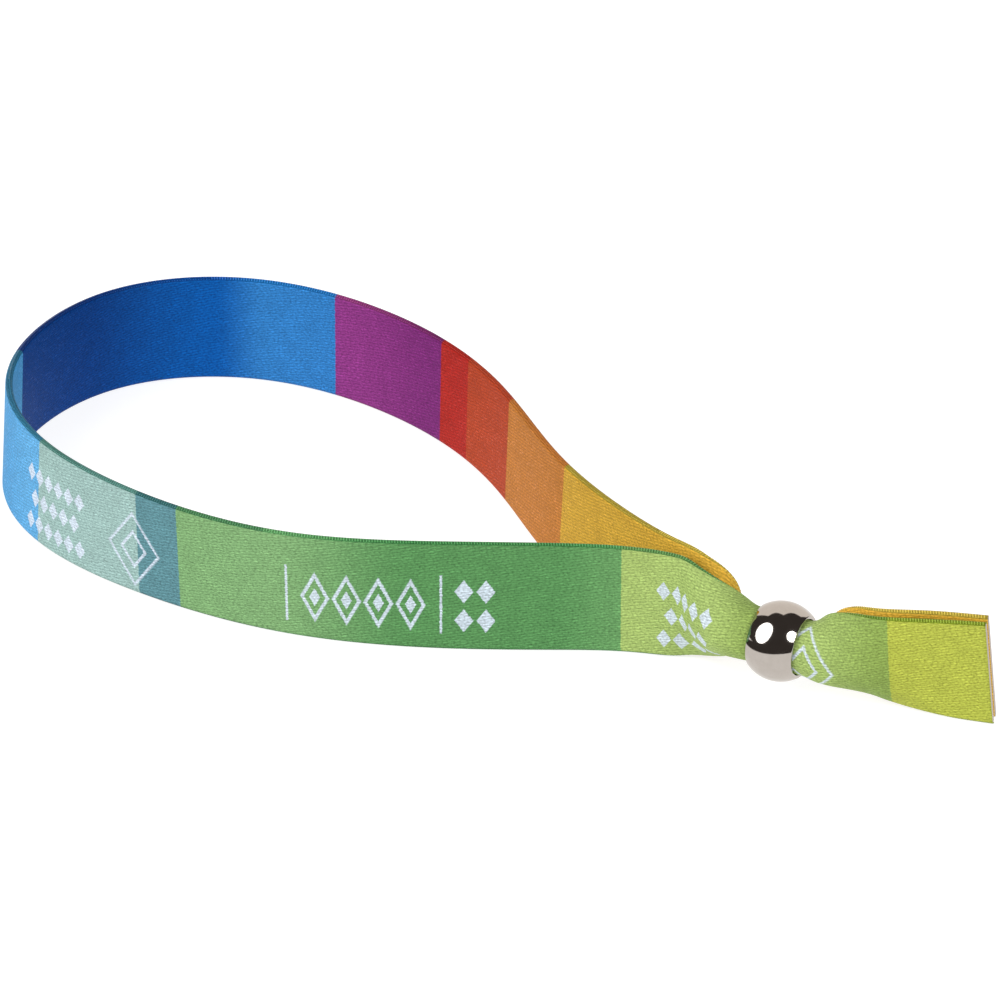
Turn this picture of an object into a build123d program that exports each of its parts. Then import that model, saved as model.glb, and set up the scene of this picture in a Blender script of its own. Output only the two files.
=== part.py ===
from build123d import *
import math
import os
from collections import namedtuple

# A woven ribbon wristband. One ribbon stands on its edge, makes a teardrop loop for the wrist, and both
# of its ends are drawn side by side through a metal bead that slides along them and holds by friction.
# X runs from the loop (-X) to the cut ends (+X), past the bead. Z is up, the table is Z = 0.
# The origin is the middle of the bottom of the whole wristband's box.

# Driving sizes, in millimetres
loop_length = 121.0        # from the middle of the bead to the far end of the loop
loop_width = 61.0          # across the loop, at the middle of the cloth
neck_length = 12.0         # from the middle of the bead to where the plies part into the loop
tail_length = 26.7         # from the middle of the bead to the cut ends
tail_swing = 7.3           # how far the cut ends stand to the side of the bead
tail_gap = 0.9             # between the two plies at the cut ends
strap_width = 15.0
strap_thickness = 1.0
pressed_thickness = 0.55   # of the cloth inside the bead
ply_gap = 0.1              # between the two plies inside the bead
bore_gap = 0.1             # between the cloth and the bead's bore
bead_bore = 7.3
bead_wall = 1.5            # round the middle of the bead, which is a bored ball
bead_lip = 0.4             # the wall left where the ball's two ends are cut flat
bead_round = 0.1           # the rounding of the lip's two edges
bead_sag = 0.9             # the bead hangs this far below the middle of the ribbon
bead_turn = 10.0           # degrees that its bore is turned in plan, towards +Y at the tail's side
bead_dip = 3.5             # degrees that its bore slopes down towards the tail

# How finely the cloth is divided
longest_step = 5.0         # along the ribbon
longest_step_across = 0.85

# Sizes that follow from these
bead_radius = bead_bore / 2 + bead_wall
bead_height = max(strap_width / 2 - bead_sag, bead_radius)
mouth = math.sqrt(bead_radius**2 - (bead_bore / 2 + bead_lip) ** 2)  # half of the bead's length
roll_radius = bead_bore / 2 - bore_gap - pressed_thickness - ply_gap / 2

# Inside the bead both plies are rolled lengthwise into a C about the bore, one within the other, with
# roll_radius between them. Out of its mouths they unroll until they stand flat.
# closing_turn: degrees that half of a ply turns before it closes; what is left over curls up inside it,
# curl_tightness times as tight.
closing_turn = 165
curl_tightness = 2

# One section of the ribbon, as a control point that the cloth's smooth route is drawn towards.
# x, y: the place in plan of the line that it follows, from the bead's middle.
# aside: how far outside that line its own middle runs.  lean: degrees, the top leaning in.
# rake: degrees, the top leaning back along the route.
# roll: 0 flat, 1 as rolled as in the bead, negative on the ply that the other one wraps.
# skew: 0 an even roll, 1 all of it towards the bottom edge.
# rest: 1 where the bottom edge rests on the table, 0 where height gives the height of the middle.
# wall: the cloth's thickness.
Section = namedtuple("Section", "x y aside lean rake roll skew rest height wall")

# The tail, from the cut ends to the bead's mouth
# out: share of the way from the mouth to the cut ends.  swing: share of tail_swing.
# hug: how close the plies' middle stays to the line of the bore's wall, 1 as in the bead.
# part: share of the way from ply_gap to tail_gap.  tilt: degrees, the tops leaning towards -Y.
# back: degrees, the tops leaning back to the bead.  height: of the cloth's middle, a share of strap_width.
TailRow = namedtuple("TailRow", "out swing hug part tilt back roll skew height")
TAIL = [
    TailRow(1.00, 1.00, 0.0, 1.0, 5, 4, 0.00, 0.0, 0.50),
    TailRow(0.81, 0.73, 0.0, 0.9, 7, 4, 0.02, 0.5, 0.50),
    TailRow(0.62, 0.42, 0.0, 0.7, 12, 3, 0.08, 1.0, 0.505),
    TailRow(0.45, 0.12, 0.2, 0.5, 14, 2, 0.26, 0.9, 0.48),
    TailRow(0.30, 0.02, 0.6, 0.4, 12, 0, 0.50, 0.6, 0.455),
    TailRow(0.17, 0.00, 0.9, 0.3, 6, 0, 0.72, 0.4, 0.435),
    TailRow(0.09, 0.00, 1.0, 0.2, 0, 0, 0.90, 0.3, 0.435),
]

# The neck, from the bead's other mouth to where the plies part
# out: share of the way from the mouth to the end of the neck.  near_lean and far_lean: the lean of
# the ply towards -Y and of the other one, and near_roll and far_roll their rolls.  The rest as in the tail.
NeckRow = namedtuple("NeckRow", "out hug part near_lean far_lean near_roll far_roll skew height")
NECK = [
    NeckRow(0.35, 1.0, 0.2, -6, 3, 0.92, 0.98, 0.0, 0.43),
    NeckRow(0.80, 0.75, 0.4, -14, 14, 0.57, 0.87, 0.0, 0.43),
    NeckRow(1.15, 0.1, 1.0, -7, 5, 0.18, 0.22, 0.7, 0.51),
]

# The loop, from the neck round to the neck again, the ply towards -Y first
# along: share of the way from the neck to the loop's far end.  across: share of loop_width.
LoopRow = namedtuple("LoopRow", "along across lean")
LOOP = [
    LoopRow(0.035, -0.020, 0),
    LoopRow(0.100, -0.050, 1),
    LoopRow(0.245, -0.235, 6),
    LoopRow(0.425, -0.420, -5),
    LoopRow(0.640, -0.440, -3),
    LoopRow(0.845, -0.360, 4),
    LoopRow(0.990, -0.100, 2),
    LoopRow(1.017, 0.325, 1),
    LoopRow(0.865, 0.585, 1),
    LoopRow(0.640, 0.580, -1),
    LoopRow(0.455, 0.440, -2),
    LoopRow(0.290, 0.190, -3),
    LoopRow(0.110, 0.050, -5),
    LoopRow(0.035, 0.020, -6),
]


def bundle_section(side, x, y, row, roll, lean, rake):
    """One ply's section where both run together. side is -1 on the ply towards -Y, else 1."""
    wall = strap_thickness + (pressed_thickness - strap_thickness) * roll**2
    gap = ply_gap + (tail_gap - ply_gap) * row.part
    turn = math.radians(bead_turn)
    height = strap_width * row.height - x * math.tan(math.radians(bead_dip)) * row.hug
    y += (x * math.tan(turn) - roll_radius * math.cos(turn)) * row.hug
    x += roll_radius * math.sin(turn) * row.hug
    return Section(x, y, (wall + gap) / 2, lean, rake, -side * roll, row.skew, 0, height, wall)


def end_rows(side):
    """The ribbon's sections from a cut end through the bead to the loop."""
    rows = []
    for row in TAIL:
        x = mouth + (tail_length - mouth) * row.out
        y = tail_swing * row.swing
        rows.append(bundle_section(side, x, y, row, row.roll, side * row.tilt, side * row.back))
    rows[0] = rows[0]._replace(rest=1, height=0)
    in_bead = TailRow(0, 0, 1, 0, 0, 0, 1, 0, bead_height / strap_width)
    mouth_x = mouth * math.cos(math.radians(bead_turn)) * math.cos(math.radians(bead_dip))
    for share in (1.25, 1.05, 0.4, -0.4, -1.05, -1.25):
        rows.append(bundle_section(side, mouth_x * share, 0, in_bead, 1, 0, 0))
    for row in NECK:
        x = -mouth - (neck_length - mouth) * row.out
        lean, roll = (row.near_lean, row.near_roll) if side < 0 else (row.far_lean, row.far_roll)
        rows.append(bundle_section(side, x, 0, row, roll, lean, 0))
    return rows


def loop_section(row):
    x = -neck_length - (loop_length - neck_length) * row.along
    return Section(x, loop_width * row.across, 0, row.lean, 0, 0, 0, 1, 0, strap_thickness)


def route_rows():
    """Every section of the ribbon, from one cut end to the other, with one more past each end."""
    rows = end_rows(-1) + [loop_section(row) for row in LOOP] + end_rows(1)[::-1]
    before = Section(*(2 * a - b for a, b in zip(rows[0], rows[1])))
    after = Section(*(2 * a - b for a, b in zip(rows[-1], rows[-2])))
    return [before] + rows + [after]


def blend(rows, t):
    """The section at t, from 0 to 1, between the middle two of four rows, and the way the route runs."""
    weights = ((1 - t) ** 3, 3 * t**3 - 6 * t**2 + 4, -3 * t**3 + 3 * t**2 + 3 * t + 1, t**3)
    slopes = (-((1 - t) ** 2), 3 * t**2 - 4 * t, -3 * t**2 + 2 * t + 1, t**2)
    section = Section(*(sum(w * v for w, v in zip(weights, column)) / 6 for column in zip(*rows)))
    run = math.atan2(
        sum(w * row.y for w, row in zip(slopes, rows)),
        sum(w * row.x for w, row in zip(slopes, rows)),
    )
    return section, run


def half_line(section, way):
    """A section's middle line as (out, up, turn) points, from the ribbon's middle to its top or bottom edge.

    way is 1 upwards and -1 downwards. The plies are parallel, so each is rolled about the same centre."""
    points = [(0.0, 0.0, 0.0)]
    out = up = turn = along = 0.0
    steps = math.ceil(strap_width / 2 / longest_step_across)
    step = strap_width / 2 / steps
    for _ in range(steps):
        bend = section.roll / roll_radius * (1 - way * section.skew * along / (strap_width / 2))
        if abs(turn) > math.radians(closing_turn):
            bend *= curl_tightness
        shared = step / (1 + bend * section.aside)
        out -= step * math.sin(turn + bend * shared / 2)
        up += step * math.cos(turn + bend * shared / 2)
        turn += bend * shared
        along += shared
        points.append((out, way * up, way * turn))
    return points


def place_section(section, run):
    """The corners of one section of the cloth: its outer face top to bottom, then its inner face back up."""
    lean = math.radians(section.lean)
    line = half_line(section, 1)[::-1] + half_line(section, -1)[1:]
    faces = []
    for half_wall in (section.wall / 2, -section.wall / 2):
        face = []
        for out, up, turn in line:
            out += section.aside + half_wall * math.cos(turn)
            up += half_wall * math.sin(turn)
            face.append((out * math.cos(lean) - up * math.sin(lean), up * math.cos(lean) + out * math.sin(lean)))
        faces.append(face)
    ring = faces[0] + faces[1][::-1]
    lowest = min(up for out, up in ring)
    height = max(section.height - lowest * section.rest, -lowest)  # never under the table
    ahead, aside = (math.cos(run), math.sin(run)), (-math.sin(run), math.cos(run))
    corners = []
    for out, up in ring:
        back = -up * math.sin(math.radians(section.rake))
        x = section.x + ahead[0] * back + aside[0] * out
        y = section.y + ahead[1] * back + aside[1] * out
        corners.append(Vector(x, y, height + up))
    return corners


def strap_rings():
    """The placed sections along the whole ribbon, close enough together for the route's curves."""
    rows = route_rows()
    rings = []
    for near in zip(rows, rows[1:], rows[2:], rows[3:]):
        gap = math.hypot(near[2].x - near[1].x, near[2].y - near[1].y)
        steps = max(2, math.ceil(gap / longest_step))
        rings += [place_section(*blend(near, i / steps)) for i in range(steps)]
    rings.append(place_section(*blend(rows[-4:], 1.0)))
    return rings


def make_strap():
    rings = strap_rings()
    around = len(rings[0])
    triangles = []
    for ring, following in zip(rings, rings[1:]):
        for i in range(around):
            j = (i + 1) % around
            triangles += [(ring[i], ring[j], following[j]), (ring[i], following[j], following[i])]
    for ring in (rings[0], rings[-1]):
        for i in range(around // 2 - 1):
            a, b, c, d = ring[i], ring[i + 1], ring[around - 2 - i], ring[around - 1 - i]
            triangles += [(a, b, c), (a, c, d)]
    faces = [Face(Wire.make_polygon(triangle)) for triangle in triangles]
    return Solid(Shell(faces))


def make_bead():
    """A ball turned about its bore, cut flat at both mouths, with the lips' edges rounded."""
    bore = bead_bore / 2
    with BuildSketch() as wall:
        with BuildLine():
            Polyline((mouth, bore + bead_lip), (mouth, bore), (-mouth, bore), (-mouth, bore + bead_lip))
            ThreePointArc((-mouth, bore + bead_lip), (0, bead_radius), (mouth, bore + bead_lip))
        make_face()
        fillet(wall.vertices(), min(bead_round, bead_lip * 0.4))
    bead = revolve(wall.sketch, Axis.X, 360)
    return Pos(0, 0, bead_height) * Rot(0, 0, bead_turn) * Rot(0, bead_dip, 0) * bead


parts = {"strap": make_strap(), "bead": make_bead()}
whole = Compound(list(parts.values())).bounding_box()
to_origin = Pos(-whole.center().X, -whole.center().Y, -whole.min.Z)

os.makedirs("parts", exist_ok=True)
for name, shape in parts.items():
    export_step(to_origin * shape, f"parts/{name}.step")
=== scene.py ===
import math
from collections import namedtuple

import bmesh
import bpy
from bpy.props import FloatProperty, FloatVectorProperty, PointerProperty
from mathutils import Matrix, Vector


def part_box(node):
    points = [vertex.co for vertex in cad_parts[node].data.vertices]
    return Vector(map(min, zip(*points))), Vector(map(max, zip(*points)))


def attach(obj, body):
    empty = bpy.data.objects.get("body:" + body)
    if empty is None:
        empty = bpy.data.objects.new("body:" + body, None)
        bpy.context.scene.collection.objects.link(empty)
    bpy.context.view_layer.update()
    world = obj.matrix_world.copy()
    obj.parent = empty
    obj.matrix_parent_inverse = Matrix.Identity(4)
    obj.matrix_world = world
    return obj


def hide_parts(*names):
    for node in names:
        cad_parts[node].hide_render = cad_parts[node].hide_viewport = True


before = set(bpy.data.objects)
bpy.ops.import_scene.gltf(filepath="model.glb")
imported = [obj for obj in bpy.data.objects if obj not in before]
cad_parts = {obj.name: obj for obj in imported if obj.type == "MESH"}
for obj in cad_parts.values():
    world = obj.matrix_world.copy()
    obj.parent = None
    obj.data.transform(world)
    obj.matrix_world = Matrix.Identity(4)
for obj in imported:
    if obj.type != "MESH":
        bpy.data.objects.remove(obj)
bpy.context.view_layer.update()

bl_info = {
    "name": "Woven wristband",
    "version": (1, 0, 0),
    "blender": (4, 5, 0),
    "location": "3D View > Sidebar > Wristband",
    "description": "A woven ribbon wristband with a polished bead",
    "category": "Object",
}

MM = 0.001
MERGE = 1e-7        # corners nearer than this are one

# Sizes and colours

BEAD_LOW, BEAD_HIGH = (Vector(corner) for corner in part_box("bead"))
BEAD_MIDDLE = (BEAD_LOW + BEAD_HIGH) / 2


def length(name, description, millimetres):
    return FloatProperty(
        name=name,
        description=description,
        default=millimetres * MM,
        unit="LENGTH",
        min=0,
        precision=5,
    )


def angle(name, description, degrees):
    return FloatProperty(
        name=name,
        description=description,
        default=math.radians(degrees),
        subtype="ANGLE",
        unit="ROTATION",
    )


def linear(value):
    """The linear share of one screen colour value, from 0 to 255."""
    share = value / 255
    return share / 12.92 if share <= 0.04045 else ((share + 0.055) / 1.055) ** 2.4


def colour(name, description, red, green, blue):
    """A colour property, given as the screen shows it, from 0 to 255."""
    return FloatVectorProperty(
        name=name,
        description=description,
        subtype="COLOR",
        size=3,
        min=0,
        max=1,
        default=[linear(value) for value in (red, green, blue)],
    )


class RibbonSizes(bpy.types.PropertyGroup):
    loop_length: length("Loop length", "From the bead's middle to the far end of the loop", 121)
    loop_width: length("Loop width", "Across the loop, at the middle of the cloth", 61)
    neck_length: length("Neck length", "From the bead's middle to where the plies part", 12)
    tail_length: length("Tail length", "From the bead's middle to the cut ends", 26.7)
    tail_swing: length("Tail swing", "How far the cut ends stand to the side of the bead", 7.3)
    tail_gap: length("Tail gap", "Between the two plies at the cut ends", 0.9)
    width: length("Ribbon width", "Across the ribbon, threads at its edges included", 15)
    thickness: length("Ribbon thickness", "Of the cloth where nothing presses it", 1)
    pressed: length("Pressed thickness", "Of the cloth inside the bead", 0.55)
    ply_gap: length("Ply gap", "Between the two plies inside the bead", 0.1)
    bore_gap: length("Bore gap", "Between the cloth and the bead's bore", 0.1)
    edge_thread: length("Edge thread", "Thickness of the thread over the woven edges", 0.2)
    edge_pitch: length("Edge pitch", "From one turn of the edge thread to the next", 0.36)
    pleat_depth: length("Pleat depth", "Of the fine pleats at the bead's mouths", 0.07)
    pleat_pitch: length("Pleat pitch", "From one fine pleat to the next", 0.9)
    pleat_reach: length("Pleat reach", "How far from the bead the pleats smooth out", 5)


class BeadSizes(bpy.types.PropertyGroup):
    bore: length("Bore", "Across the bead's bore", 7.3)
    wall: length("Wall", "Round the middle of the bead", 1.5)
    lip: length("Lip", "The wall left where the ball's ends are cut flat", 0.4)
    rounding: length("Rounding", "Of the lip's two edges", 0.1)
    turn: angle("Turn", "Of the bore in plan, towards +Y at the tail's side", 10)
    dip: angle("Dip", "How far the bore slopes down towards the tail", 3.5)


class BandColours(bpy.types.PropertyGroup):
    citron: colour("Citron", "The end of the near tail", 168, 175, 70)
    # Painted shade: the lime darkened by the bead's neck-side mouth and along the near tail
    moss: colour("Moss", "The deeper lime by the bead and the near tail", 130, 154, 76)
    lime: colour("Lime", "Through the bead", 154, 176, 101)
    fern: colour("Fern", "The start of the long green band", 97, 146, 90)
    leaf: colour("Leaf", "Through the middle of the long green band", 84, 136, 81)
    grass: colour("Grass", "The end of the long green band", 120, 160, 107)
    teal: colour("Teal", "The narrow band", 88, 132, 140)
    mint: colour("Mint", "The pale band", 145, 174, 169)
    sky: colour("Sky", "Where the pale blue band starts", 90, 159, 206)
    azure: colour("Azure", "Where the pale blue band ends", 70, 146, 198)
    # From navy through ultramarine to blue the band lightens: partly dye, partly painted sheen on
    # its lighter end
    navy: colour("Navy", "Where the deep blue band starts", 2, 58, 128)
    ultramarine: colour("Ultramarine", "Through the middle of the deep blue band", 4, 86, 165)
    blue: colour("Blue", "Where the deep blue band ends", 47, 120, 186)
    purple: colour("Purple", "Where the purple band starts", 136, 52, 124)
    plum: colour("Plum", "Where the purple band ends", 118, 38, 110)
    red: colour("Red", "The narrow red band", 170, 38, 30)
    vermilion: colour("Vermilion", "The orange red band", 174, 65, 34)
    amber: colour("Amber", "The amber band", 187, 117, 49)
    ochre: colour("Ochre", "Where the yellow band starts", 202, 157, 53)
    yellow: colour("Yellow", "The end of the far tail", 214, 168, 60)
    ornament_white: colour("Ornament", "The woven ornament", 198, 208, 222)
    core: colour("Core", "The undyed threads in the cut ends", 186, 174, 164)
    lime_trim: colour("Lime trim", "Tints the woven edges from the near tail on", 186, 206, 140)
    leaf_trim: colour("Leaf trim", "Tints the woven edges of the long green band", 188, 232, 212)
    cool_trim: colour("Cool trim", "Tints the woven edges from grass to azure", 145, 192, 182)
    blue_trim: colour("Blue trim", "Tints the woven edges of the deep blue band", 120, 226, 238)
    warm_trim: colour("Warm trim", "Tints the woven edges from purple to amber", 255, 246, 230)
    pale_trim: colour("Pale trim", "Tints the woven edges of the yellow band", 214, 240, 246)


# The ribbon's route, as in the part's source: shares of the named sizes, angles in degrees
# out: from the bead's mouth to the end of the tail or neck.  swing: of the tail to its side.
# hug: 1 where the plies follow the bore.  part: 0 as close as in the bead, 1 as at the cut ends.
# tilt and lean: the cloth's top to one side.  back and rake: its top back along the route.
# roll: 0 flat, 1 as rolled as in the bead.  skew: 0 an even roll, 1 all of it near the lower edge.
# height: of the cloth's middle.  rest: 1 where the lower edge rests on the table instead.
# x and y: the line it follows, in plan from the bead's middle.  aside: how far beside that it lies.

Section = namedtuple("Section", "x y aside lean rake roll skew rest height wall")

TailRow = namedtuple("TailRow", "out swing hug part tilt back roll skew height")
TAIL = [
    TailRow(1.00, 1.00, 0.0, 1.0, 5, 4, 0.00, 0.0, 0.50),
    TailRow(0.81, 0.73, 0.0, 0.9, 7, 4, 0.02, 0.5, 0.50),
    TailRow(0.62, 0.42, 0.0, 0.7, 12, 3, 0.08, 1.0, 0.505),
    TailRow(0.45, 0.12, 0.2, 0.5, 14, 2, 0.26, 0.9, 0.48),
    TailRow(0.30, 0.02, 0.6, 0.4, 12, 0, 0.50, 0.6, 0.455),
    TailRow(0.17, 0.00, 0.9, 0.3, 6, 0, 0.72, 0.4, 0.435),
    TailRow(0.09, 0.00, 1.0, 0.2, 0, 0, 0.90, 0.3, 0.435),
]

NeckRow = namedtuple("NeckRow", "out hug part near_lean far_lean near_roll far_roll skew height")
NECK = [
    NeckRow(0.35, 1.0, 0.2, -6, 3, 0.92, 0.98, 0.0, 0.43),
    NeckRow(0.80, 0.75, 0.4, -14, 14, 0.57, 0.87, 0.0, 0.43),
    NeckRow(1.15, 0.1, 1.0, -7, 5, 0.18, 0.22, 0.7, 0.51),
]

LoopRow = namedtuple("LoopRow", "along across lean")
LOOP = [
    LoopRow(0.035, -0.020, 0),
    LoopRow(0.100, -0.050, 1),
    LoopRow(0.245, -0.235, 6),
    LoopRow(0.425, -0.420, -5),
    LoopRow(0.640, -0.440, -3),
    LoopRow(0.845, -0.360, 4),
    LoopRow(0.990, -0.100, 2),
    LoopRow(1.017, 0.325, 1),
    LoopRow(0.865, 0.585, 1),
    LoopRow(0.640, 0.580, -1),
    LoopRow(0.455, 0.440, -2),
    LoopRow(0.290, 0.190, -3),
    LoopRow(0.110, 0.050, -5),
    LoopRow(0.035, 0.020, -6),
]

IN_BEAD = (1.25, 1.05, 0.4, -0.4, -1.05, -1.25)   # shares of the way out to a mouth

CLOSING_TURN = math.radians(165)   # half of a ply turns so far before it curls up inside itself
CURL_TIGHTNESS = 2
LONGEST_STEP = 0.6 * MM            # along the ribbon
FEWEST_STEPS = 4                   # between two rows of the route
STEPS_ACROSS = 28                  # from the middle of the ribbon to an edge
EDGE_STEPS = 6                     # round a woven edge
PLEAT_SWAY = 0.5                   # of the pleats from side to side, in radians
PLEAT_WANDER = 3 * MM              # the length along the ribbon over which they sway
PLEAT_PATCH = 0.7 * MM             # the width across it over which they come and go


def bead_reach(bead):
    """The bead's radius, and how far its mouths stand from its middle."""
    radius = bead.bore / 2 + bead.wall
    return radius, math.sqrt(radius**2 - (bead.bore / 2 + bead.lip) ** 2)


class Route:
    """Works out where any point of the ribbon lies, in the frame of the CAD model."""

    def __init__(self, ribbon, bead):
        self.ribbon, self.bead = ribbon, bead
        self.mouth = bead_reach(bead)[1]
        self.roll_radius = bead.bore / 2 - ribbon.bore_gap - ribbon.pressed - ribbon.ply_gap / 2
        rows = self.end_rows(-1) + [self.loop_section(row) for row in LOOP] + self.end_rows(1)[::-1]
        before = Section(*(2 * a - b for a, b in zip(rows[0], rows[1])))
        after = Section(*(2 * a - b for a, b in zip(rows[-1], rows[-2])))
        self.rows = [before] + rows + [after]

    def bundle_section(self, side, x, y, row, roll, lean, rake):
        """A section where the plies lie together. The near ply's side is -1 and the far one's 1."""
        r = self.ribbon
        wall = r.thickness + (r.pressed - r.thickness) * roll**2
        gap = r.ply_gap + (r.tail_gap - r.ply_gap) * row.part
        turn = self.bead.turn
        height = r.width * row.height - x * math.tan(self.bead.dip) * row.hug
        y += (x * math.tan(turn) - self.roll_radius * math.cos(turn)) * row.hug
        x += self.roll_radius * math.sin(turn) * row.hug
        return Section(x, y, (wall + gap) / 2, lean, rake, -side * roll, row.skew, 0, height, wall)

    def end_rows(self, side):
        """One ply's sections, from its cut end through the bead to where the loop starts."""
        r, rows = self.ribbon, []
        for row in TAIL:
            x = self.mouth + (r.tail_length - self.mouth) * row.out
            y = r.tail_swing * row.swing
            lean, rake = side * row.tilt, side * row.back
            rows.append(self.bundle_section(side, x, y, row, row.roll, lean, rake))
        rows[0] = rows[0]._replace(rest=1, height=0)
        in_bead = TailRow(0, 0, 1, 0, 0, 0, 1, 0, BEAD_MIDDLE.z / r.width)
        mouth_x = self.mouth * math.cos(self.bead.turn) * math.cos(self.bead.dip)
        for share in IN_BEAD:
            rows.append(self.bundle_section(side, mouth_x * share, 0, in_bead, 1, 0, 0))
        for row in NECK:
            x = -self.mouth - (r.neck_length - self.mouth) * row.out
            lean = row.near_lean if side < 0 else row.far_lean
            roll = row.near_roll if side < 0 else row.far_roll
            rows.append(self.bundle_section(side, x, 0, row, roll, lean, 0))
        return rows

    def loop_section(self, row):
        """A section of the open loop, which stands on its lower edge."""
        r = self.ribbon
        x = -r.neck_length - (r.loop_length - r.neck_length) * row.along
        return Section(x, r.loop_width * row.across, 0, row.lean, 0, 0, 0, 1, 0, r.thickness)

    def stations(self):
        """Every section with the way the ribbon runs there, from cut end to cut end."""
        found = []
        for near in zip(self.rows, self.rows[1:], self.rows[2:], self.rows[3:]):
            gap = math.hypot(near[2].x - near[1].x, near[2].y - near[1].y)
            steps = max(FEWEST_STEPS, math.ceil(gap / LONGEST_STEP))
            found += [self.blend(near, i / steps) for i in range(steps)]
        return found + [self.blend(self.rows[-4:], 1.0)]

    @staticmethod
    def blend(rows, t):
        """The section a share t of the way between the middle two of four, on one smooth curve."""
        weights = ((1 - t) ** 3, 3 * t**3 - 6 * t**2 + 4, -3 * t**3 + 3 * t**2 + 3 * t + 1, t**3)
        slopes = (-((1 - t) ** 2), 3 * t**2 - 4 * t, -3 * t**2 + 2 * t + 1, t**2)
        columns = zip(*rows)
        section = Section(*(sum(w * v for w, v in zip(weights, values)) / 6 for values in columns))
        ahead_x = sum(w * row.x for w, row in zip(slopes, rows))
        ahead_y = sum(w * row.y for w, row in zip(slopes, rows))
        return section, math.atan2(ahead_y, ahead_x)

    def half_line(self, section, way, reach):
        """Points (out, up, turn) through the cloth, from its middle to its top or bottom edge."""
        points = [(0.0, 0.0, 0.0)]
        half_width = self.ribbon.width / 2
        out = up = turn = along = 0.0
        step = reach / STEPS_ACROSS
        for _ in range(STEPS_ACROSS):
            tighter = 1 - way * section.skew * along / half_width
            bend = section.roll / self.roll_radius * tighter
            if abs(turn) > CLOSING_TURN:
                bend *= CURL_TIGHTNESS
            shared = step / (1 + bend * section.aside)
            out -= step * math.sin(turn + bend * shared / 2)
            up += step * math.cos(turn + bend * shared / 2)
            turn += bend * shared
            along += shared
            points.append((out, way * up, way * turn))
        return points

    def ring(self, section, run):
        """The corners of one section: outer face down, lower edge, inner face up, upper edge."""
        r = self.ribbon
        half = section.wall / 2
        reach = (r.width - r.edge_thread) / 2 - half
        line = self.half_line(section, 1, reach)[::-1] + self.half_line(section, -1, reach)[1:]
        flat = []
        for i, (o, u, t) in enumerate(line):
            face = half - self.pleat(section, i * reach / STEPS_ACROSS)
            flat.append((o + face * math.cos(t), u + face * math.sin(t)))
        flat += self.round_edge(line[-1], half, -1)
        flat += [(o - half * math.cos(t), u - half * math.sin(t)) for o, u, t in line[::-1]]
        flat += self.round_edge(line[0], half, 1)
        lean = math.radians(section.lean)
        flat = [(o + section.aside, u) for o, u in flat]
        cosine, sine = math.cos(lean), math.sin(lean)
        flat = [(o * cosine - u * sine, u * cosine + o * sine) for o, u in flat]
        spare = r.edge_thread / 2
        lowest = min(u for o, u in flat) - spare
        height = max(section.height - lowest * section.rest, -lowest)
        corners = []
        for out, up in flat:
            back = -up * math.sin(math.radians(section.rake))
            corners.append(Vector((
                BEAD_MIDDLE.x + section.x + math.cos(run) * back - math.sin(run) * out,
                BEAD_MIDDLE.y + section.y + math.sin(run) * back + math.cos(run) * out,
                height + up,
            )))
        return corners

    def pleat(self, section, around):
        """How deep the pleats at the bead's mouths press into the outer face."""
        r = self.ribbon
        away = max(0, abs(section.x) - self.mouth) / r.pleat_reach
        wander = PLEAT_SWAY * math.sin(section.x / PLEAT_WANDER)
        even = math.sin(math.tau * around / r.pleat_pitch + wander)
        wave = even * math.sin(around / PLEAT_PATCH)
        return r.pleat_depth * math.exp(-away * away) * (1 + wave) / 2

    @staticmethod
    def round_edge(end, half, way):
        """Points round a woven edge, from one face to the other, without the faces' own corners."""
        out, up, turn = end
        points = []
        for k in range(1, EDGE_STEPS):
            turned = math.pi * k / EDGE_STEPS
            across = half * math.cos(turned) * -way
            past = half * math.sin(turned) * way
            points.append((
                out + across * math.cos(turn) - past * math.sin(turn),
                up + across * math.sin(turn) + past * math.cos(turn),
            ))
        return points


# Mesh making

def swept(rings, along, around):
    """A closed tube through rings. Its UV map is the place along and around it, in metres."""
    bm = bmesh.new()
    segments, sides = len(rings) - 1, len(rings[0])
    bmesh.ops.create_grid(bm, x_segments=segments, y_segments=sides, size=1)
    uv = bm.loops.layers.uv.new("ribbon")
    place = {}
    for v in bm.verts:
        i = round((v.co.x + 1) / 2 * segments)
        j = round((v.co.y + 1) / 2 * sides)
        place[v] = (i, j)
        v.co = rings[i][j % sides]
    for face in bm.faces:
        face.smooth = True
        for corner in face.loops:
            i, j = place[corner.vert]
            corner[uv].uv = (along[i], around[j])
    bmesh.ops.remove_doubles(bm, verts=bm.verts, dist=MERGE)
    rim = [e for e in bm.edges if e.is_boundary]
    bmesh.ops.holes_fill(bm, edges=rim, sides=0)
    return bm


def finish_mesh(bm, name, *materials):
    """Turns the faces outwards and makes the mesh an object."""
    bmesh.ops.recalc_face_normals(bm, faces=bm.faces)
    mesh = bpy.data.meshes.new(name)
    bm.to_mesh(mesh)
    bm.free()
    for material in materials:
        mesh.materials.append(material)
    obj = bpy.data.objects.new(name, mesh)
    bpy.context.collection.objects.link(obj)
    return obj


def lengths_along(points):
    """The way from the first point to each of them, over the points between."""
    total, found = 0.0, [0.0]
    for a, b in zip(points, points[1:]):
        total += (b - a).length
        found.append(total)
    return found


# Materials

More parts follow.
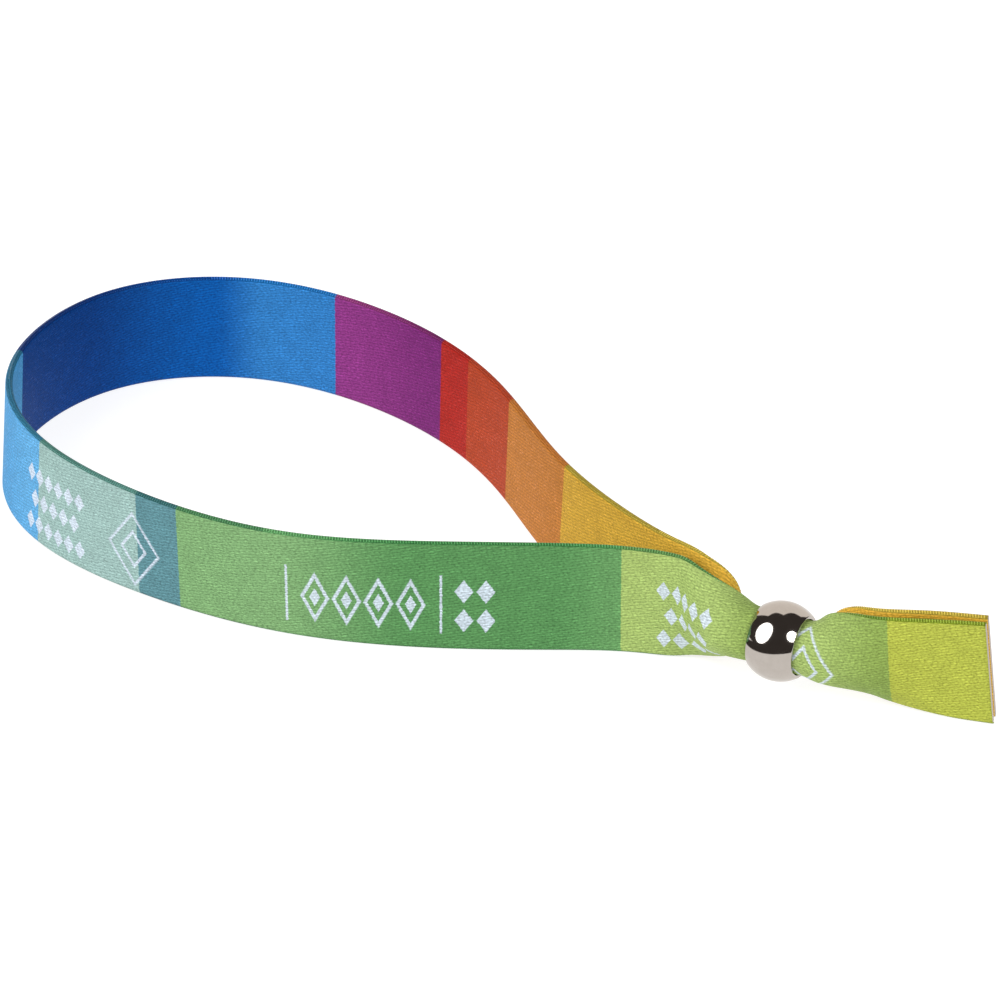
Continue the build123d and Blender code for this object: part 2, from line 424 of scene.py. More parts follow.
class Tree:
    """Adds nodes to a material or node group, one call for each."""

    def __init__(self, tree):
        self.nodes, self.links = tree.nodes, tree.links

    def node(self, kind, **settings):
        made = self.nodes.new(kind)
        for key, value in settings.items():
            setattr(made, key, value)
        return made

    def feed(self, socket, value):
        if isinstance(value, bpy.types.NodeSocket):
            self.links.new(value, socket)
        else:
            socket.default_value = value

    def math(self, operation, *values):
        made = self.node("ShaderNodeMath", operation=operation)
        for socket, value in zip(made.inputs, values):
            self.feed(socket, value)
        return made.outputs[0]

    def total(self, *values):
        result = values[0]
        for value in values[1:]:
            result = self.math("ADD", result, value)
        return result

    def times(self, *values):
        result = values[0]
        for value in values[1:]:
            result = self.math("MULTIPLY", result, value)
        return result

    def soft_step(self, value, edge, blur):
        """0 below edge, 1 above it, over blur."""
        made = self.node("ShaderNodeMapRange", interpolation_type="SMOOTHSTEP")
        self.feed(made.inputs["Value"], value)
        self.feed(made.inputs["From Min"], edge - blur / 2)
        self.feed(made.inputs["From Max"], edge + blur / 2)
        return made.outputs[0]

    def between(self, value, low, high, blur):
        """1 from low to high, 0 outside."""
        below = self.math("SUBTRACT", 1.0, self.soft_step(value, high, blur))
        return self.times(self.soft_step(value, low, blur), below)

    def mix(self, factor, a, b, blend="MIX"):
        """Mixes two colours, through the node's sockets for colours."""
        made = self.node("ShaderNodeMix", data_type="RGBA", blend_type=blend)
        for number, value in ((0, factor), (6, a), (7, b)):
            self.feed(made.inputs[number], value)
        return made.outputs[2]

    def noise(self, vector, scale, detail=2.0, stretch=None):
        if stretch:
            vector = self.scaled(vector, stretch)
        made = self.node("ShaderNodeTexNoise")
        self.feed(made.inputs["Vector"], vector)
        made.inputs["Scale"].default_value = scale
        made.inputs["Detail"].default_value = detail
        return made.outputs["Fac"]

    def scaled(self, vector, scale):
        made = self.node("ShaderNodeMapping")
        self.feed(made.inputs["Vector"], vector)
        made.inputs["Scale"].default_value = scale
        return made.outputs[0]

    def along_way(self, vector, way):
        """How far a vector reaches along a way."""
        made = self.node("ShaderNodeVectorMath", operation="DOT_PRODUCT")
        self.feed(made.inputs[0], vector)
        made.inputs[1].default_value = way
        return made.outputs["Value"]

    def split(self, vector):
        made = self.node("ShaderNodeSeparateXYZ")
        self.feed(made.inputs[0], vector)
        return made.outputs[0], made.outputs[1]

    def joined(self, x, y):
        made = self.node("ShaderNodeCombineXYZ")
        self.feed(made.inputs[0], x)
        self.feed(made.inputs[1], y)
        return made.outputs[0]

    def bump(self, shader, height, strength, depth):
        """Gives a shader its relief, depth in metres."""
        made = self.node("ShaderNodeBump")
        made.inputs["Strength"].default_value = strength
        made.inputs["Distance"].default_value = depth
        self.feed(made.inputs["Height"], height)
        self.feed(shader.inputs["Normal"], made.outputs[0])


def new_material(name):
    """A material, its tree and its shader."""
    material = bpy.data.materials.new(name)
    material.use_nodes = True
    tree = Tree(material.node_tree)
    return material, tree, tree.nodes["Principled BSDF"]


def new_group(name, inputs, outputs):
    """A node group with the given sockets, its tree, and the sockets seen from inside."""
    group = bpy.data.node_groups.new(name, "ShaderNodeTree")
    for word, kind, default in inputs:
        socket = group.interface.new_socket(word, in_out="INPUT", socket_type="NodeSocket" + kind)
        if default is not None:
            socket.default_value = default
    for word, kind in outputs:
        group.interface.new_socket(word, in_out="OUTPUT", socket_type="NodeSocket" + kind)
    tree = Tree(group)
    source = tree.node("NodeGroupInput")
    return group, tree, source.outputs, tree.node("NodeGroupOutput").inputs


def ribbon_place(tree):
    """Millimetres along the ribbon, and around its section from the top of its outer face."""
    made = tree.node("ShaderNodeUVMap", uv_map="ribbon")
    return tree.scaled(made.outputs[0], (1 / MM, 1 / MM, 1))


# The weave, in millimetres and shares

SWAY_SCALE, ROW_SWAY = 1.3, 0.55        # how often the rows waver, and how far
ROW_SHIFT, ROW_JITTER = 0.39, 0.45      # shares of a float, from one row to the next
SIDE_FALL, END_FALL = 3.6, 6.4          # how a float drops towards its sides and its ends
GRAIN_SCALE, MOTTLE_SCALE = 3.4, 0.4    # how often they change in a millimetre
CROWN, GRAIN, FIBRE = 0.6, 1.7, 0.5     # their shares of the relief
MEAN_RELIEF = 1.53                      # what these three come to on average
MOTTLE = 0.5                            # of the light and dark, in cloudy patches
TWILL, TWILL_PITCH = 0.4, 0.42          # of the light and dark, in slanting lines
TWILL_SLOPE, TWILL_SWAY = -0.2, 0.3     # of those lines, and how they sway with the rows
GLINTING, GLINT_CROWN = 0.8, 0.7        # floats above this chance glint, on the top of their crown
GLINT_BLUR, CROWN_BLUR = 0.3, 0.5       # over which either comes in


def satin_weave():
    """Rows of short floats, set off from row to row: relief, light and dark partly painted as the
    relief's shade, and small painted glints.
    """
    group, t, given, out = new_group(
        "satin_weave",
        [
            ("Place", "Vector", None),
            ("Row", "Float", 0.3),
            ("Float", "Float", 0.8),
            ("Contrast", "Float", 0.58),
            ("Glint", "Float", 0.18),
        ],
        [("Shade", "Float"), ("Height", "Float"), ("Glint", "Float")],
    )
    along, around = t.split(given["Place"])
    sway = t.math("SUBTRACT", t.noise(given["Place"], SWAY_SCALE), 0.5)
    row = t.math("DIVIDE", t.total(around, t.times(sway, ROW_SWAY)), given["Row"])
    which = t.math("FLOOR", row)
    jitter = t.node("ShaderNodeTexWhiteNoise", noise_dimensions="1D")
    t.feed(jitter.inputs["W"], which)
    offset = t.total(t.times(which, ROW_SHIFT), t.times(jitter.outputs["Value"], ROW_JITTER))
    place = t.total(t.math("DIVIDE", t.total(along, sway), given["Float"]), offset)
    across = t.math("ABSOLUTE", t.math("SUBTRACT", t.math("FRACT", row), 0.5))
    ahead = t.math("ABSOLUTE", t.math("SUBTRACT", t.math("FRACT", place), 0.5))
    crown = t.times(
        t.math("SUBTRACT", 1.0, t.times(across, across, SIDE_FALL)),
        t.math("SUBTRACT", 1.0, t.times(ahead, ahead, ahead, END_FALL)),
    )
    grain = t.noise(given["Place"], GRAIN_SCALE, detail=3.0)
    fibre = t.noise(given["Place"], 1.0, stretch=(2.0, 9.0, 1))
    height = t.total(t.times(crown, CROWN), t.times(grain, GRAIN), t.times(fibre, FIBRE))
    cell = t.node("ShaderNodeTexWhiteNoise", noise_dimensions="2D")
    t.feed(cell.inputs["Vector"], t.joined(t.math("FLOOR", place), which))
    glint = t.times(
        t.soft_step(cell.outputs["Value"], GLINTING, GLINT_BLUR),
        t.soft_step(crown, GLINT_CROWN, CROWN_BLUR),
    )
    glint = t.times(glint, given["Glint"])
    mottle = t.noise(given["Place"], MOTTLE_SCALE)
    slant = t.total(around, t.times(along, TWILL_SLOPE), t.times(sway, TWILL_SWAY))
    twill = t.times(t.math("SINE", t.times(slant, math.tau / TWILL_PITCH)), mottle, TWILL)
    # Painted shade: the floats' relief lightens their crowns and darkens their sides in the colour;
    # grain, fibres, mottle and twill lines add tone, and the glints are added as painted highlights
    shade = t.total(
        t.math("SUBTRACT", height, MEAN_RELIEF),
        t.times(t.math("SUBTRACT", mottle, 0.5), MOTTLE),
        twill,
    )
    t.feed(out["Height"], height)
    t.feed(out["Glint"], glint)
    t.feed(out["Shade"], t.total(1.0, t.times(shade, given["Contrast"]), glint))
    return group


ROW_BLUR, RIM_BLUR, HOLLOW_BLUR = 0.05, 0.12, 0.06   # at a row's ends and a lozenge's two outlines


def lozenge_row():
    """A row of lozenges along the ribbon, solid or hollow."""
    group, t, given, out = new_group(
        "lozenge_row",
        [
            ("Along", "Float", 0),
            ("Down", "Float", 0),
            ("Start", "Float", 0),
            ("End", "Float", 1),
            ("Middle", "Float", 0),
            ("Pitch", "Float", 1),
            ("Half length", "Float", 1),
            ("Half height", "Float", 1),
            ("Hollow", "Float", 0),
        ],
        [("Mask", "Float")],
    )
    into = t.math("SUBTRACT", given["Along"], given["Start"])
    left = t.math("SUBTRACT", given["End"], given["Along"])
    inside = t.times(t.soft_step(into, 0.0, ROW_BLUR), t.soft_step(left, 0.0, ROW_BLUR))
    cell = t.math("FLOORED_MODULO", into, given["Pitch"])
    across = t.math("ABSOLUTE", t.math("SUBTRACT", cell, t.times(given["Pitch"], 0.5)))
    down = t.math("ABSOLUTE", t.math("SUBTRACT", given["Down"], given["Middle"]))
    reach = t.total(
        t.math("DIVIDE", across, given["Half length"]),
        t.math("DIVIDE", down, given["Half height"]),
    )
    solid = t.soft_step(t.math("SUBTRACT", 1.0, reach), 0.0, RIM_BLUR)
    rim = t.soft_step(t.math("SUBTRACT", reach, given["Hollow"]), 0.0, HOLLOW_BLUR)
    t.feed(out["Mask"], t.times(inside, solid, rim))
    return group


Band = namedtuple("Band", "start first end last trim")
BANDS = [
    # start and end along the ribbon in millimetres, with the colour there,
    # and the colour that tints the woven edges
    Band(0.0, "citron", 12.7, "citron", "lime_trim"),
    # Painted shade: these three bands darken the lime by the bead's neck-side mouth and towards the
    # near tail's end
    Band(12.7, "moss", 25.0, "lime", "lime_trim"),
    Band(25.0, "lime", 29.0, "moss", "lime_trim"),
    Band(29.0, "moss", 38.0, "lime", "lime_trim"),
    Band(38.0, "lime", 52.2, "lime", "cool_trim"),
    Band(52.2, "fern", 61.0, "leaf", "leaf_trim"),
    Band(61.0, "leaf", 78.0, "leaf", "leaf_trim"),
    Band(78.0, "leaf", 98.0, "grass", "leaf_trim"),
    Band(98.0, "grass", 110.6, "grass", "cool_trim"),
    Band(110.6, "teal", 117.2, "teal", "cool_trim"),
    Band(117.2, "mint", 136.8, "mint", "cool_trim"),
    Band(136.8, "sky", 150.0, "azure", "cool_trim"),
    Band(150.0, "azure", 164.0, "azure", "cool_trim"),
    # The deep blue band's fade from navy to blue is partly dye and partly painted sheen
    Band(164.0, "navy", 180.0, "navy", "blue_trim"),
    Band(180.0, "navy", 200.0, "ultramarine", "blue_trim"),
    Band(200.0, "ultramarine", 207.5, "blue", "blue_trim"),
    Band(207.5, "blue", 217.6, "blue", "blue_trim"),
    Band(217.6, "purple", 237.4, "plum", "warm_trim"),
    Band(237.4, "red", 244.0, "red", "warm_trim"),
    Band(244.0, "vermilion", 256.9, "vermilion", "warm_trim"),
    Band(256.9, "amber", 277.0, "amber", "warm_trim"),
    Band(277.0, "ochre", 306.0, "yellow", "pale_trim"),
    Band(306.0, "yellow", 350.4, "yellow", "pale_trim"),
]

LozengeRow = namedtuple("LozengeRow", "start end middle pitch half_length half_height hollow")
ORNAMENT = [
    # millimetres along the ribbon and down from its upper edge
    # hollow is the open share of a lozenge, and below 0 it is solid
    LozengeRow(19.6, 28.6, 7.7, 9.0, 4.3, 5.4, 0.90),
    LozengeRow(19.6, 28.6, 7.7, 9.0, 2.2, 2.8, 0.78),
    LozengeRow(36.6, 47.6, 4.8, 2.2, 1.0, 1.3, -1),
    LozengeRow(37.7, 46.5, 8.2, 2.2, 1.0, 1.3, -1),
    LozengeRow(36.6, 47.6, 11.6, 2.2, 1.0, 1.3, -1),
    LozengeRow(68.0, 73.6, 6.2, 2.8, 1.2, 1.6, -1),
    LozengeRow(68.0, 73.6, 10.2, 2.8, 1.2, 1.6, -1),
    LozengeRow(76.9, 93.3, 8.2, 4.1, 1.9, 3.6, 0.74),
    LozengeRow(76.9, 93.3, 8.2, 4.1, 0.7, 1.3, -1),
    LozengeRow(113.4, 122.4, 7.9, 9.0, 4.3, 5.4, 0.90),
    LozengeRow(113.4, 122.4, 7.9, 9.0, 2.2, 2.8, 0.78),
    LozengeRow(126.6, 139.8, 4.8, 2.2, 1.0, 1.3, -1),
    LozengeRow(127.7, 138.7, 8.2, 2.2, 1.0, 1.3, -1),
    LozengeRow(126.6, 139.8, 11.6, 2.2, 1.0, 1.3, -1),
]
RULES = (75.1, 95.0)              # upright lines either side of the long row of lozenges
RULE_TOP, RULE_FOOT = 4.0, 12.1
RULE_HALF = 0.16                  # half the width of a line
REPEAT = 187.6                    # the far half of the ribbon carries the same ornament again
ORNAMENT_SHARE = 0.86             # of the ornament's colour, over the band's colour

# How colours meet on the cloth, in millimetres and shares

DYE_BLUR, THREAD_BLUR = 0.1, 0.4  # where two bands meet
WANDER_SCALE, WANDER = 3.5, 0.3   # how often a border strays along the ribbon, and how far
WANDER_DOWN = 0.7                 # as a share of that, how far it strays across the ribbon
EDGE_INSET = 0.15                 # of a woven edge, left in the cloth's own colour at each side
THREAD_SHADOW = 0.75              # how the edge is darkened under its thread


def tinted_colour(name, tint=(1, 1, 1)):
    """One of the user's colours, tinted, as a shader takes it."""
    dye_and_painted_light = getattr(bpy.context.scene.wristband_colours, name)
    return (*(part * share for part, share in zip(dye_and_painted_light, tint)), 1)


def band_colour(tree, along, blur, trimmed=False):
    """The bands' colours, dye with painted shade by the bead and painted sheen on the deep blue
    band, or with trimmed the colours of the threads over their edges.
    """
    colours = bpy.context.scene.wristband_colours
    shown = None
    for band in BANDS:
        tint = getattr(colours, band.trim) if trimmed else (1, 1, 1)
        dye_and_painted_light = tinted_colour(band.first, tint)
        if band.first != band.last:
            whole = band.end - band.start
            fade = tree.soft_step(along, band.start + whole / 2, whole)
            dye_and_painted_light = tree.mix(fade, dye_and_painted_light, tinted_colour(band.last, tint))
        if shown is None:
            shown = dye_and_painted_light
        else:
            shown = tree.mix(tree.soft_step(along, band.start, blur), shown, dye_and_painted_light)
    return shown


def ornament_mask(tree, along, down, row_group):
    """Where the woven ornament is, once on each half of the ribbon."""
    again = tree.math("GREATER_THAN", along, REPEAT)
    along = tree.math("SUBTRACT", along, tree.times(again, REPEAT))
    sockets = ("Start", "End", "Middle", "Pitch", "Half length", "Half height", "Hollow")
    mask = None
    for row in ORNAMENT:
        made = tree.node("ShaderNodeGroup", node_tree=row_group)
        tree.feed(made.inputs["Along"], along)
        tree.feed(made.inputs["Down"], down)
        for socket, value in zip(sockets, row):
            made.inputs[socket].default_value = value
        row_mask = made.outputs[0]
        mask = row_mask if mask is None else tree.math("MAXIMUM", mask, row_mask)
    tall = tree.between(down, RULE_TOP, RULE_FOOT, DYE_BLUR)
    for place in RULES:
        line = tree.between(along, place - RULE_HALF, place + RULE_HALF, DYE_BLUR)
        mask = tree.math("MAXIMUM", mask, tree.times(line, tall))
    return mask


def ribbon_material(weave, row_group, face, edge):
    """The cloth. face and edge are the widths of a face and of a woven edge, in millimetres."""
    material, t, shader = new_material("woven_satin")
    place = ribbon_place(t)
    along, around = t.split(place)
    made = t.node("ShaderNodeGroup", node_tree=weave)
    t.feed(made.inputs["Place"], place)
    stray = t.noise(place, WANDER_SCALE, detail=1.0)
    wander = t.times(t.math("SUBTRACT", stray, 0.5), WANDER)
    wandered = t.total(along, wander)
    dye_and_painted_light = band_colour(t, wandered, DYE_BLUR)
    down = t.total(around, t.times(wander, WANDER_DOWN))
    ornament = ornament_mask(t, wandered, down, row_group)
    outer = t.math("LESS_THAN", around, face)
    ornament = t.times(ornament, outer, ORNAMENT_SHARE)
    coloured = t.mix(ornament, dye_and_painted_light, tinted_colour("ornament_white"))
    inset = EDGE_INSET * edge
    lower = t.between(around, face + inset, face + edge - inset, DYE_BLUR)
    upper = t.between(around, 2 * face + edge + inset, 2 * (face + edge) - inset, DYE_BLUR)
    edges = t.math("MAXIMUM", lower, upper)
    thread_dye_and_painted_light = band_colour(t, along, THREAD_BLUR, trimmed=True)
    shadow = (THREAD_SHADOW, THREAD_SHADOW, THREAD_SHADOW, 1)
    coloured = t.mix(edges, coloured, t.mix(1.0, thread_dye_and_painted_light, shadow, "MULTIPLY"))
    shaded = t.mix(1.0, coloured, made.outputs["Shade"], "MULTIPLY")
    t.feed(shader.inputs["Base Color"], shaded)
    t.feed(shader.inputs["Roughness"], t.math("SUBTRACT", 0.55, made.outputs["Glint"]))
    shader.inputs["Specular IOR Level"].default_value = 0.07
    t.bump(shader, made.outputs["Height"], 0.6, 0.06 * MM)
    return material


def core_material():
    """The bare ends of the threads where the ribbon is cut."""
    material, t, shader = new_material("cut_threads")
    place = t.node("ShaderNodeTexCoord").outputs["Object"]
    fibres = t.noise(place, 1.0, stretch=(2500, 2500, 6000))
    shade = t.total(0.75, t.times(fibres, 0.5))
    t.feed(shader.inputs["Base Color"], t.mix(1.0, tinted_colour("core"), shade, "MULTIPLY"))
    shader.inputs["Roughness"].default_value = 0.7
    t.bump(shader, fibres, 0.6, 0.05 * MM)
    return material


def edge_material():
    """The thread over the woven edges, coloured with the bands under it, their painted shade and
    sheen included.
    """
    material, t, shader = new_material("edge_thread")
    place = ribbon_place(t)
    along = t.split(place)[0]
    dye_and_painted_light = band_colour(t, along, THREAD_BLUR, trimmed=True)
    fibres = t.noise(place, 1.0, stretch=(3.0, 12.0, 1))
    shaded = t.mix(1.0, dye_and_painted_light, t.total(0.9, t.times(fibres, 1.4)), "MULTIPLY")
    t.feed(shader.inputs["Base Color"], shaded)
    shader.inputs["Roughness"].default_value = 0.6
    shader.inputs["Sheen Weight"].default_value = 0.2
    return material


DULL_METAL = (0.50, 0.465, 0.43, 1)
CLEAR_METAL = (0.57, 0.535, 0.50, 1)


def metal_material():
    """Polished metal, slightly smeared by handling, with fine hairlines."""
    material, t, shader = new_material("polished_metal")
    place = t.node("ShaderNodeTexCoord").outputs["Object"]
    smears = t.noise(place, 900.0)
    hairlines = t.noise(place, 1.0, stretch=(900, 5200, 5200))
    t.feed(shader.inputs["Base Color"], t.mix(smears, DULL_METAL, CLEAR_METAL))
    shader.inputs["Metallic"].default_value = 1.0
    t.feed(shader.inputs["Roughness"], t.total(0.05, t.times(smears, 0.05)))
    t.bump(shader, hairlines, 0.05, 0.01 * MM)
    return material


# Pieces

BALL_STEPS, LIP_STEPS = 40, 3                 # of the bead's profile
ROUND_STEPS = 144                             # round its bore


def ribbon_rings():
    """The ribbon's sections, and how far along it each one is."""
    scene = bpy.context.scene
    route = Route(scene.wristband_ribbon, scene.wristband_bead)
    rings = [route.ring(section, run) for section, run in route.stations()]
    face = 2 * STEPS_ACROSS
    middle = STEPS_ACROSS
    opposite = face + EDGE_STEPS + middle
    along = lengths_along([(ring[middle] + ring[opposite]) / 2 for ring in rings])
    return rings, along


class WRISTBAND_OT_ribbon(bpy.types.Operator):
    """The ribbon, from one cut end round the loop to the other"""

    bl_idname = "wristband.ribbon"
    bl_label = "Ribbon"

    def execute(self, context):
        rings, along = ribbon_rings()
        loop_ring = rings[len(rings) // 2]
        around = lengths_along(loop_ring + loop_ring[:1])
        bm = swept(rings, along, around)
        for face in bm.faces:
            cut_end = len(face.verts) > 4
            if cut_end:
                face.smooth = False
                face.material_index = 1
        face_width = around[2 * STEPS_ACROSS] / MM
        edge_width = around[2 * STEPS_ACROSS + EDGE_STEPS] / MM - face_width
        cloth = ribbon_material(satin_weave(), lozenge_row(), face_width, edge_width)
        ribbon = finish_mesh(bm, "ribbon", cloth, core_material())
        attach(ribbon, "root")
        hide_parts("strap")
        return {"FINISHED"}


def edge_stations(rings, lower):
    """At each section, the middle of an edge, the way out of it and half the way across it."""
    face = 2 * STEPS_ACROSS
    first = face if lower else 2 * face + EDGE_STEPS
    found = []
    for ring in rings:
        corners = ring + ring[:1]
        one, other = corners[first], corners[first + EDGE_STEPS]
        tip = corners[first + EDGE_STEPS // 2]
        middle = (one + other) / 2
        found.append((middle, tip - middle, (one - other) / 2))
    return found


THREAD_STEPS, THREAD_SIDES = 8, 6           # in one turn of an edge thread, and round it
PAST_EDGE, OVER_FACE = 0.94, 0.76           # how far its middle goes, as shares of the edge
THREAD_SIDE = 0.3 * MM                      # one side of the thread in the UV map


def thread_line(stations, along, pitch):
    """The middle of a thread wound over an edge, with its places along the ribbon."""
    line, places, k = [], [], 0
    for i in range(int(along[-1] / pitch) * THREAD_STEPS + 1):
        place = min(i / THREAD_STEPS * pitch, along[-1])
        while along[k + 1] < place:
            k += 1
        share = (place - along[k]) / (along[k + 1] - along[k])
        near, far = stations[k], stations[k + 1]
        middle, past, across = (a.lerp(b, share) for a, b in zip(near, far))
        turned = math.tau * i / THREAD_STEPS
        over = across * math.sin(turned) * OVER_FACE
        line.append(middle + past * math.cos(turned) * PAST_EDGE + over)
        places.append(place)
    return line, places


def thread_rings(line, radius):
    """Rings of a round thread along a line."""
    rings = []
    for i, point in enumerate(line):
        ahead = (line[min(i + 1, len(line) - 1)] - line[max(i - 1, 0)]).normalized()
        side = ahead.orthogonal().normalized()
        above = ahead.cross(side)
        ring = []
        for j in range(THREAD_SIDES):
            turned = math.tau * j / THREAD_SIDES
            ring.append(point + (side * math.cos(turned) + above * math.sin(turned)) * radius)
        rings.append(ring)
    return rings


class WRISTBAND_OT_edges(bpy.types.Operator):
    """The thread that winds over each woven edge"""

    bl_idname = "wristband.edges"
    bl_label = "Edge threads"

    def execute(self, context):
        ribbon = context.scene.wristband_ribbon
        rings, along = ribbon_rings()
        material = edge_material()
        around = [THREAD_SIDE * j for j in range(THREAD_SIDES + 1)]
        for name, lower in (("upper_edge_thread", False), ("lower_edge_thread", True)):
            line, places = thread_line(edge_stations(rings, lower), along, ribbon.edge_pitch)
            tube = thread_rings(line, ribbon.edge_thread / 2)
            thread = finish_mesh(swept(tube, places, around), name, material)
            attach(thread, "root")
        return {"FINISHED"}


class WRISTBAND_OT_bead(bpy.types.Operator):
    """The polished bead, a ball cut flat at both ends and bored"""

    bl_idname = "wristband.bead"
    bl_label = "Bead"

    def execute(self, context):
        bead = context.scene.wristband_bead
        radius, mouth = bead_reach(bead)
        bore = bead.bore / 2
        lip = bore + bead.lip
        bm = bmesh.new()
        start = bm.verts.new(BEAD_MIDDLE + Vector((-mouth, 0, lip)))
        ball = bmesh.ops.spin(
            bm, geom=[start], cent=BEAD_MIDDLE, axis=(0, 1, 0),
            angle=2 * math.asin(mouth / radius), steps=BALL_STEPS,
        )
        end = next(v for v in ball["geom_last"] if isinstance(v, bmesh.types.BMVert))
        inner = [bm.verts.new(BEAD_MIDDLE + Vector((x, 0, bore))) for x in (mouth, -mouth)]
        for pair in ((end, inner[0]), inner, (inner[1], start)):
            bm.edges.new(pair)
        corners = [start, end, *inner]
        bmesh.ops.bevel(
            bm, geom=corners, offset=bead.rounding, segments=LIP_STEPS, profile=0.5,
            material=-1, affect="VERTICES",
        )
        bmesh.ops.spin(
            bm, geom=bm.verts[:] + bm.edges[:], cent=BEAD_MIDDLE, axis=(1, 0, 0),
            angle=math.tau, steps=ROUND_STEPS, use_merge=True,
        )
        bmesh.ops.remove_doubles(bm, verts=bm.verts, dist=MERGE)
        bore_way = Matrix.Rotation(bead.turn, 3, "Z") @ Matrix.Rotation(bead.dip, 3, "Y")
        bmesh.ops.rotate(bm, verts=bm.verts, cent=BEAD_MIDDLE, matrix=bore_way)
        for face in bm.faces:
            face.smooth = True
        piece = finish_mesh(bm, "polished_bead", metal_material())
        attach(piece, "root")
        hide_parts("bead")
        return {"FINISHED"}


# The stage, with sides in degrees from the front, -Y, towards +X

VIEW_SIDE, VIEW_HEIGHT = 35, 27             # of the camera
RIGHT_SIDE, FAR_SIDE = VIEW_SIDE + 90, VIEW_SIDE + 180
CAMERA_DISTANCE = 1.5
LENS, SENSOR = 414.56, 36                   # in millimetres, as a camera has them
# The point on the floor in the middle of the view
AIM = Vector((BEAD_MIDDLE.x - 58.875 * MM, BEAD_MIDDLE.y + 22.365 * MM, 0))

WHITE = (1, 1, 1, 1)
FLOOR_REACH = 12                            # in metres, from its middle
FLOOR_GREY = (0.42, 0.42, 0.42, 1)
FLOOR_GLOW = 0.78
ROOM_GREY = (0.3, 0.3, 0.3, 1)

# What the bead mirrors: a dark room, a pale disc of floor and a window with a scalloped top

ROOM_DARK = (0.052, 0.044, 0.04, 1)
DISC_PALE = (1, 0.97, 0.94, 1)
DISC_RADIUS, DISC_SHIFT = 56 * MM, 27 * MM  # the disc's middle is shifted to the camera's right
DISC_BACK = 25 * MM                         # further behind the bead the whole floor is pale
WINDOW_PALE = (1.0, 0.93, 0.86, 1)
WINDOW_HEIGHT = 30                          # in degrees
WINDOW_EDGE, WINDOW_BLUR = 0.725, 0.02
SCALLOPS, SCALLOP_MIDDLE, SCALLOP_DEPTH = 5.8, 0.09, 0.1

Softbox = namedtuple("Softbox", "name side height distance width length power")
SOFTBOXES = [
    Softbox("key", -31, 35, 1.6, 1.4, 1.7, 22),
    Softbox("fill", 72, 34, 1.6, 0.8, 0.8, 12),
]


def from_side(side, height):
    """The way from the object towards a side and a height, given in degrees."""
    a, e = math.radians(side), math.radians(height)
    return Vector((math.sin(a) * math.cos(e), -math.cos(a) * math.cos(e), math.sin(e)))


def stand_off(obj, way, distance):
    """Places a lamp or the camera, looking at the aim."""
    obj.location = AIM + way * distance
    obj.rotation_mode = "QUATERNION"
    obj.rotation_quaternion = (-way).to_track_quat("-Z", "Y")
    bpy.context.scene.collection.objects.link(obj)


def make_softbox(box):
    """A large soft lamp, unseen by the camera."""
    lamp = bpy.data.lights.new(box.name, "AREA")
    lamp.shape = "ELLIPSE"
    lamp.size, lamp.size_y, lamp.energy = box.width, box.length, box.power
    obj = bpy.data.objects.new(box.name, lamp)
    obj.visible_camera = False
    stand_off(obj, from_side(box.side, box.height), box.distance)


def make_camera():
    """The camera, with the photo's view."""
    lens = bpy.data.cameras.new("camera")
    lens.lens, lens.sensor_width = LENS, SENSOR
    camera = bpy.data.objects.new("camera", lens)
    stand_off(camera, from_side(VIEW_SIDE, VIEW_HEIGHT), CAMERA_DISTANCE)
    bpy.context.scene.camera = camera


def floor_material():
    """Near white to the eye, and in the bead's mirror a pale disc on the dark."""
    material, t, shader = new_material("pale_floor")
    shader.inputs["Base Color"].default_value = FLOOR_GREY
    shader.inputs["Roughness"].default_value = 0.9
    shader.inputs["Specular IOR Level"].default_value = 0.1
    shader.inputs["Emission Color"].default_value = WHITE
    shader.inputs["Emission Strength"].default_value = FLOOR_GLOW
    place = t.node("ShaderNodeTexCoord").outputs["Object"]
    away = t.node("ShaderNodeVectorMath", operation="DISTANCE")
    t.feed(away.inputs[0], place)
    away.inputs[1].default_value = BEAD_MIDDLE + from_side(RIGHT_SIDE, 0) * DISC_SHIFT
    to_camera = from_side(VIEW_SIDE, 0)
    back = BEAD_MIDDLE.dot(to_camera) - DISC_BACK
    outside = t.times(
        t.soft_step(away.outputs["Value"], DISC_RADIUS, 2 * MM),
        t.soft_step(t.along_way(place, to_camera), back, 4 * MM),
    )
    mirrored = t.node("ShaderNodeEmission")
    t.feed(mirrored.inputs["Color"], t.mix(outside, DISC_PALE, ROOM_DARK))
    sheet = t.node("ShaderNodeMixShader")
    t.feed(sheet.inputs["Fac"], t.node("ShaderNodeLightPath").outputs["Is Glossy Ray"])
    t.feed(sheet.inputs[1], shader.outputs["BSDF"])
    t.feed(sheet.inputs[2], mirrored.outputs["Emission"])
    t.feed(t.nodes["Material Output"].inputs["Surface"], sheet.outputs["Shader"])
    return material


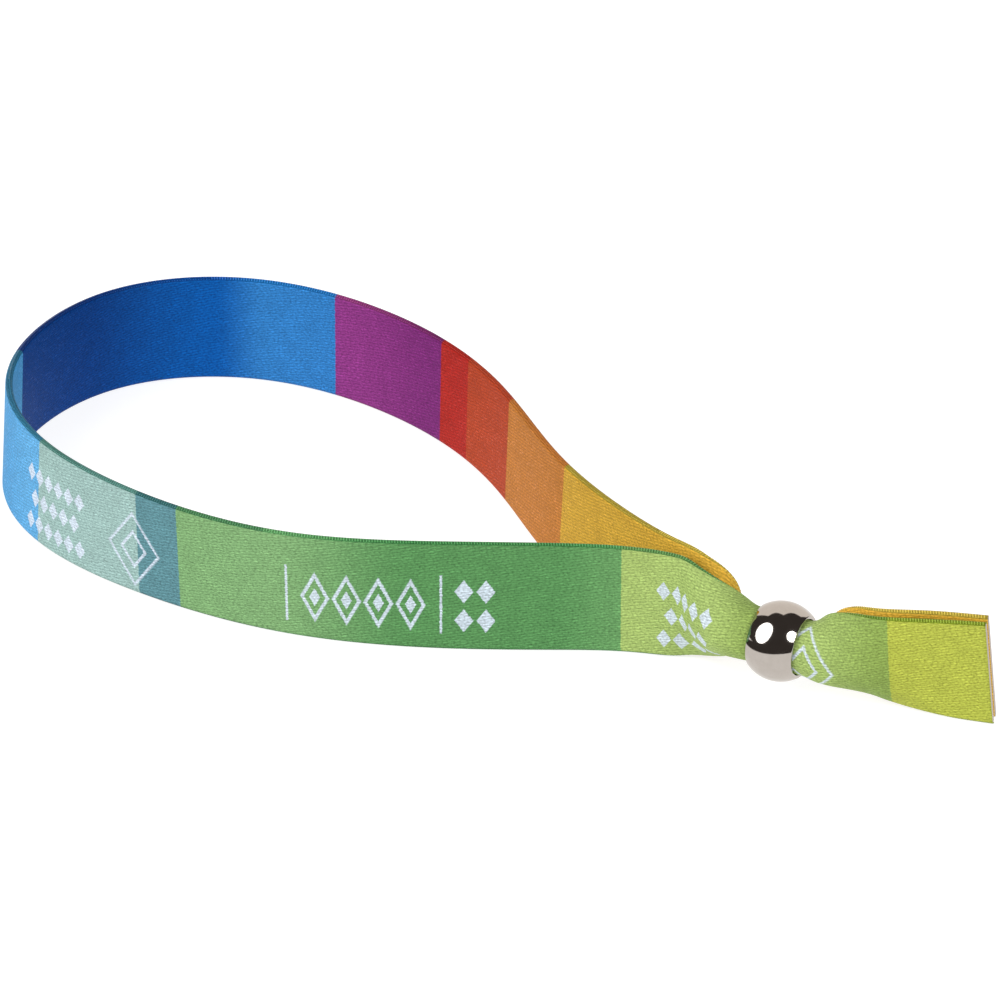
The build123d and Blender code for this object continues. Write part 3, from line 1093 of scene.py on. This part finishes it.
def make_room():
    """White behind the object, soft grey light around it, and a dark room for the bead."""
    world = bpy.data.worlds.new("studio")
    bpy.context.scene.world = world
    world.use_nodes = True
    t = Tree(world.node_tree)
    way = t.node("ShaderNodeTexCoord").outputs["Generated"]
    low = t.along_way(way, from_side(FAR_SIDE, 0))
    high = t.along_way(way, from_side(FAR_SIDE, WINDOW_HEIGHT))
    right = t.along_way(way, from_side(RIGHT_SIDE, 0))
    wave = t.math("SINE", t.times(t.math("SUBTRACT", right, SCALLOP_MIDDLE), SCALLOPS))
    scallop = t.times(t.math("ABSOLUTE", wave), SCALLOP_DEPTH)
    nearer = t.math("SUBTRACT", t.math("MAXIMUM", low, high), scallop)
    window = t.soft_step(nearer, WINDOW_EDGE, WINDOW_BLUR)
    mirrored = t.mix(window, ROOM_DARK, WINDOW_PALE)
    soft = t.mix(window, ROOM_GREY, WHITE)
    ray = t.node("ShaderNodeLightPath").outputs
    lit = t.mix(ray["Is Glossy Ray"], soft, mirrored)
    background = t.nodes["Background"]
    t.feed(background.inputs["Color"], t.mix(ray["Is Camera Ray"], lit, WHITE))
    background.inputs["Strength"].default_value = 1.0


class WRISTBAND_OT_stage(bpy.types.Operator):
    """A plain pale floor, soft studio light and the camera"""

    bl_idname = "wristband.stage"
    bl_label = "Stage"

    def execute(self, context):
        context.scene.view_settings.view_transform = "Standard"
        context.scene.view_settings.look = "None"
        bm = bmesh.new()
        bmesh.ops.create_grid(bm, x_segments=1, y_segments=1, size=FLOOR_REACH)
        finish_mesh(bm, "floor", floor_material())
        make_room()
        for box in SOFTBOXES:
            make_softbox(box)
        make_camera()
        return {"FINISHED"}


class WRISTBAND_PT_panel(bpy.types.Panel):
    bl_idname = "WRISTBAND_PT_panel"
    bl_label = "Wristband"
    bl_space_type = "VIEW_3D"
    bl_region_type = "UI"
    bl_category = "Wristband"

    def draw(self, context):
        scene = context.scene
        for title, group in (
            ("Ribbon", scene.wristband_ribbon),
            ("Bead", scene.wristband_bead),
            ("Colours", scene.wristband_colours),
        ):
            self.layout.label(text=title)
            for name in group.__annotations__:
                self.layout.prop(group, name)
        for operator in OPERATORS:
            self.layout.operator(operator.bl_idname)


OPERATORS = (WRISTBAND_OT_ribbon, WRISTBAND_OT_edges, WRISTBAND_OT_bead, WRISTBAND_OT_stage)
CLASSES = (RibbonSizes, BeadSizes, BandColours, *OPERATORS, WRISTBAND_PT_panel)


def register():
    for made in CLASSES:
        bpy.utils.register_class(made)
    bpy.types.Scene.wristband_ribbon = PointerProperty(type=RibbonSizes)
    bpy.types.Scene.wristband_bead = PointerProperty(type=BeadSizes)
    bpy.types.Scene.wristband_colours = PointerProperty(type=BandColours)


def unregister():
    del bpy.types.Scene.wristband_colours
    del bpy.types.Scene.wristband_bead
    del bpy.types.Scene.wristband_ribbon
    for made in reversed(CLASSES):
        bpy.utils.unregister_class(made)


def main():
    register()
    bpy.ops.wristband.ribbon()
    bpy.ops.wristband.edges()
    bpy.ops.wristband.bead()
    bpy.ops.wristband.stage()


if __name__ == "__main__":
    main()
